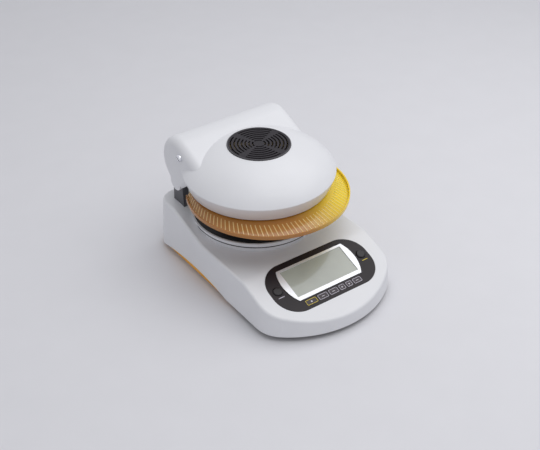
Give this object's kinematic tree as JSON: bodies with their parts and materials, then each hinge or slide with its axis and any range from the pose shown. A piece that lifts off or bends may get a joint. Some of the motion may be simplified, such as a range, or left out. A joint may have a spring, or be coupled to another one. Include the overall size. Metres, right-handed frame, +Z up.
{
  "type": "moisture analyzer",
  "caption": "Bench moisture analyzer: low wedge base with a sloping key panel and screen, black drying dish on a round collar, and a domed vented heater head that swings up on rear arms.",
  "frame": {"origin": "middle of the footprint, at the table under the feet", "axes": "+Z up, -Y towards the operator, +X to the operator's right"},
  "size_m": [0.238, 0.34, 0.194],
  "materials": {
    "housing": "smooth white",
    "tray": "orange",
    "dish": "matt black",
    "steel": "satin",
    "pan": "satin",
    "cell": "milled",
    "panel": "dark brown-black",
    "lcd_frame": "bright",
    "lcd_glass": "clear",
    "lcd_module": "grey-green",
    "board": "green laminate",
    "transformer": "varnished",
    "black_plastic": "black",
    "connector": "plated",
    "vent": "black",
    "amber": "clear amber",
    "liner": "bare sheet",
    "reflector": "bright gold tint",
    "quartz": "clear",
    "window": "clear",
    "ceramic": "ceramic",
    "rubber": "black",
    "key": "dark with a light border",
    "button": "dark gloss",
    "lug": "dark grey",
    "pin": "polished"
  },
  "bodies": {
    "base": {"base_shell": "housing", "base_tray": "tray", "case_screws": "steel", "cell_bracket": "cell", "chamber_plate": "dish", "control_panel": "panel", "display_board": "board", "feet": "rubber", "foot_screws": "steel", "fuse_cap": "black_plastic", "hinge_lug_left": "lug", "hinge_lug_right": "lug", "key_switches": "black_plastic", "lcd_frame": "lcd_frame", "lcd_glass": "lcd_glass", "lcd_module": "lcd_module", "load_cell": "cell", "main_board": "board", "pan_spindle": "steel", "pan_support": "steel", "power_inlet": "black_plastic", "rocker_housing": "black_plastic", "sample_pan": "pan", "serial_port": "connector", "transformer": "transformer"},
    "head": {"head_cover": "housing", "vent_grille": "vent", "amber_shield": "amber", "head_liner": "liner", "reflector": "reflector", "heater_lamp": "quartz", "lamp_holders": "ceramic", "heater_window": "window", "window_ring": "steel", "temperature_probe": "steel", "hinge_pin_left": "pin", "hinge_pin_right": "pin", "arm_knob_left": "pin", "arm_knob_right": "pin"},
    "key_1": {"key_1": "key"},
    "key_2": {"key_2": "key"},
    "key_3": {"key_3": "key"},
    "key_4": {"key_4": "key"},
    "key_5": {"key_5": "key"},
    "key_6": {"key_6": "key"},
    "button_left": {"button_left": "button"},
    "button_right": {"button_right": "button"},
    "rocker": {"power_rocker": "black_plastic"}
  },
  "joints": [
    {"name": "head_hinge", "type": "hinge", "parent": "base", "child": "head", "pos_m": [0, 0.129, 0.121], "axis": [-1, 0, 0], "range_deg": [0, 62]},
    {"name": "key_1_press", "type": "slide", "parent": "base", "child": "key_1", "axis": [0, 0.3216, -0.9469], "range_m": [0, 0.0005], "stiffness_N_per_m": 400},
    {"name": "key_2_press", "type": "slide", "parent": "base", "child": "key_2", "axis": [0, 0.3216, -0.9469], "range_m": [0, 0.0005], "stiffness_N_per_m": 400},
    {"name": "key_3_press", "type": "slide", "parent": "base", "child": "key_3", "axis": [0, 0.3216, -0.9469], "range_m": [0, 0.0005], "stiffness_N_per_m": 400},
    {"name": "key_4_press", "type": "slide", "parent": "base", "child": "key_4", "axis": [0, 0.3216, -0.9469], "range_m": [0, 0.0005], "stiffness_N_per_m": 400},
    {"name": "key_5_press", "type": "slide", "parent": "base", "child": "key_5", "axis": [0, 0.3216, -0.9469], "range_m": [0, 0.0005], "stiffness_N_per_m": 400},
    {"name": "key_6_press", "type": "slide", "parent": "base", "child": "key_6", "axis": [0, 0.3216, -0.9469], "range_m": [0, 0.0005], "stiffness_N_per_m": 400},
    {"name": "button_left_press", "type": "slide", "parent": "base", "child": "button_left", "axis": [0, 0.3216, -0.9469], "range_m": [0, 0.0005], "stiffness_N_per_m": 400},
    {"name": "button_right_press", "type": "slide", "parent": "base", "child": "button_right", "axis": [0, 0.3216, -0.9469], "range_m": [0, 0.0005], "stiffness_N_per_m": 400},
    {"name": "rocker_tilt", "type": "hinge", "parent": "base", "child": "rocker", "pos_m": [-0.02, 0.16526, 0.04], "axis": [1, 0, 0], "range_deg": [-8, 8]}
  ]
}
